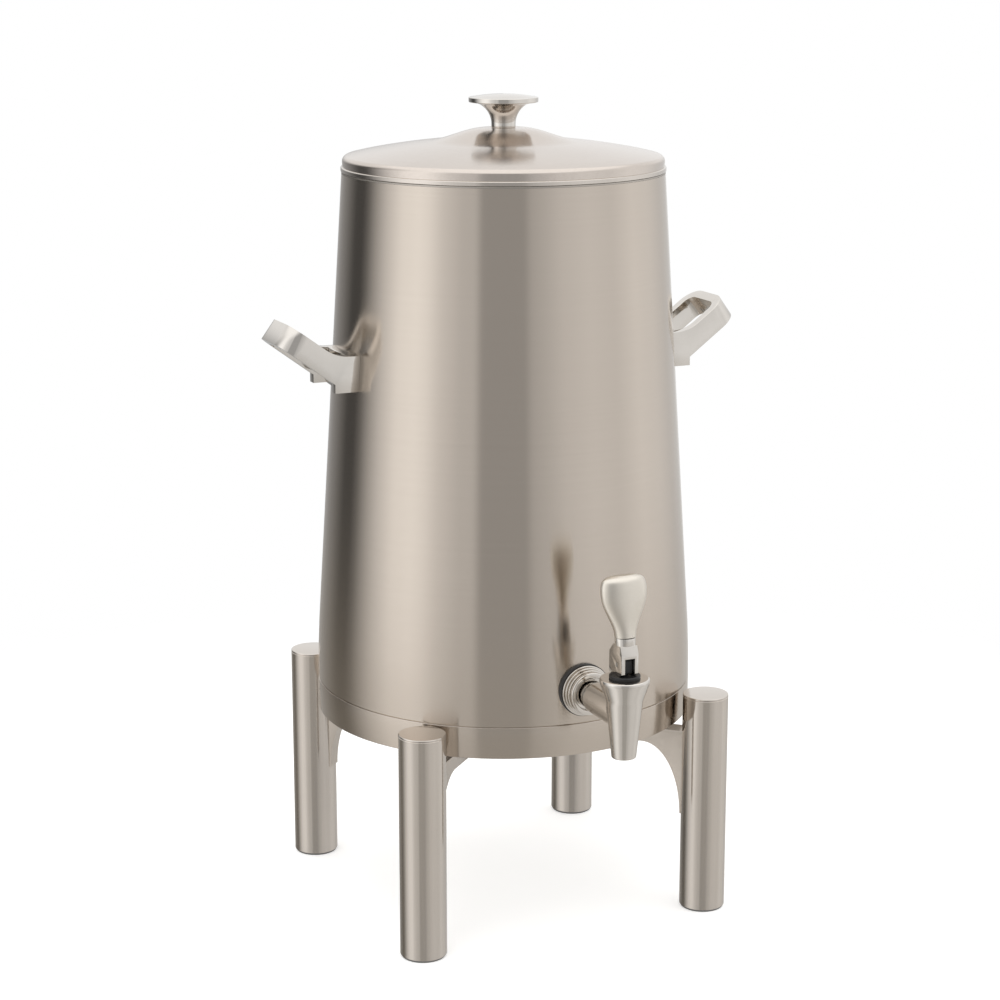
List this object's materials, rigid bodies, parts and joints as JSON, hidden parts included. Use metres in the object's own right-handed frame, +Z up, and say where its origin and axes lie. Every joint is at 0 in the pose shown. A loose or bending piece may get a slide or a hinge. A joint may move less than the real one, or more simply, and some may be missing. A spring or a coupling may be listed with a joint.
{
  "type": "coffee urn",
  "caption": "Insulated stainless coffee urn on tube legs, with a self-closing lever faucet, cast loop side handles and a lift-off domed lid with a flared knob.",
  "frame": {"origin": "on the floor under the centre of the urn and its faucet", "axes": "+Z up, the faucet points to -Y, the handles lie along X"},
  "size_m": [0.3438, 0.34, 0.5663],
  "materials": {
    "brushed_stainless": "satin",
    "plain_stainless": "satin",
    "polished_stainless": "polished",
    "chrome_plate": "polished",
    "satin_nickel": "satin",
    "insulating_foam": "matte",
    "silicone": "matte",
    "black_rubber": "matte",
    "black_plastic": "gloss",
    "grey_nylon": "matte",
    "screw_steel": "satin"
  },
  "bodies": {
    "urn": {"outer_shell": "brushed_stainless", "inner_vessel": "plain_stainless", "insulation_jacket": "insulating_foam", "insulation_pad": "insulating_foam", "rim_collar": "plain_stainless", "base_band": "brushed_stainless", "base_plate": "plain_stainless", "base_plate_screws": "screw_steel", "handle_right": "chrome_plate", "handle_left": "chrome_plate", "handle_backing_plates": "plain_stainless", "handle_screws": "screw_steel", "bracket_screws": "screw_steel", "faucet_shank": "screw_steel", "shank_nut": "screw_steel", "shank_inner_gasket": "black_rubber", "shank_outer_gasket": "black_rubber", "faucet_collar": "chrome_plate", "faucet_body": "chrome_plate", "bonnet_gasket": "black_rubber", "bonnet": "black_plastic", "leg_front_left": "polished_stainless", "leg_cap_front_left": "polished_stainless", "foot_glide_front_left": "grey_nylon", "leg_bracket_front_left": "plain_stainless", "leg_front_right": "polished_stainless", "leg_cap_front_right": "polished_stainless", "foot_glide_front_right": "grey_nylon", "leg_bracket_front_right": "plain_stainless", "leg_back_left": "polished_stainless", "leg_cap_back_left": "polished_stainless", "foot_glide_back_left": "grey_nylon", "leg_bracket_back_left": "plain_stainless", "leg_back_right": "polished_stainless", "leg_cap_back_right": "polished_stainless", "foot_glide_back_right": "grey_nylon", "leg_bracket_back_right": "plain_stainless"},
    "lid": {"lid_cover": "brushed_stainless", "lid_liner": "plain_stainless", "lid_insulation": "insulating_foam", "lid_gasket": "silicone", "lid_knob": "chrome_plate", "knob_washer": "screw_steel", "knob_screw": "screw_steel"},
    "valve": {"valve_stem": "black_plastic", "seat_cup": "silicone", "lever_pin": "screw_steel", "valve_spring": "screw_steel"},
    "lever": {"lever_yoke": "chrome_plate", "lever_grip": "satin_nickel"}
  },
  "joints": [
    {"name": "lid_lift", "type": "slide", "parent": "urn", "child": "lid", "axis": [0, 0, 1], "range_m": [0, 0.12]},
    {"name": "valve_lift", "type": "slide", "parent": "urn", "child": "valve", "axis": [0, 0, 1], "range_m": [0, 0.0017], "deforming": ["valve_spring"]},
    {"name": "lever_tilt", "type": "hinge", "parent": "valve", "child": "lever", "pos_m": [0, -0.15356, 0.2156], "axis": [1, 0, 0], "range_deg": [0, 40], "stiffness_Nm_per_rad": 0.35, "springref_deg": -11.46}
  ],
  "couplings": [
    {"joint": "valve_lift", "follows": "lever_tilt", "m_per_rad": 0.0024}
  ]
}
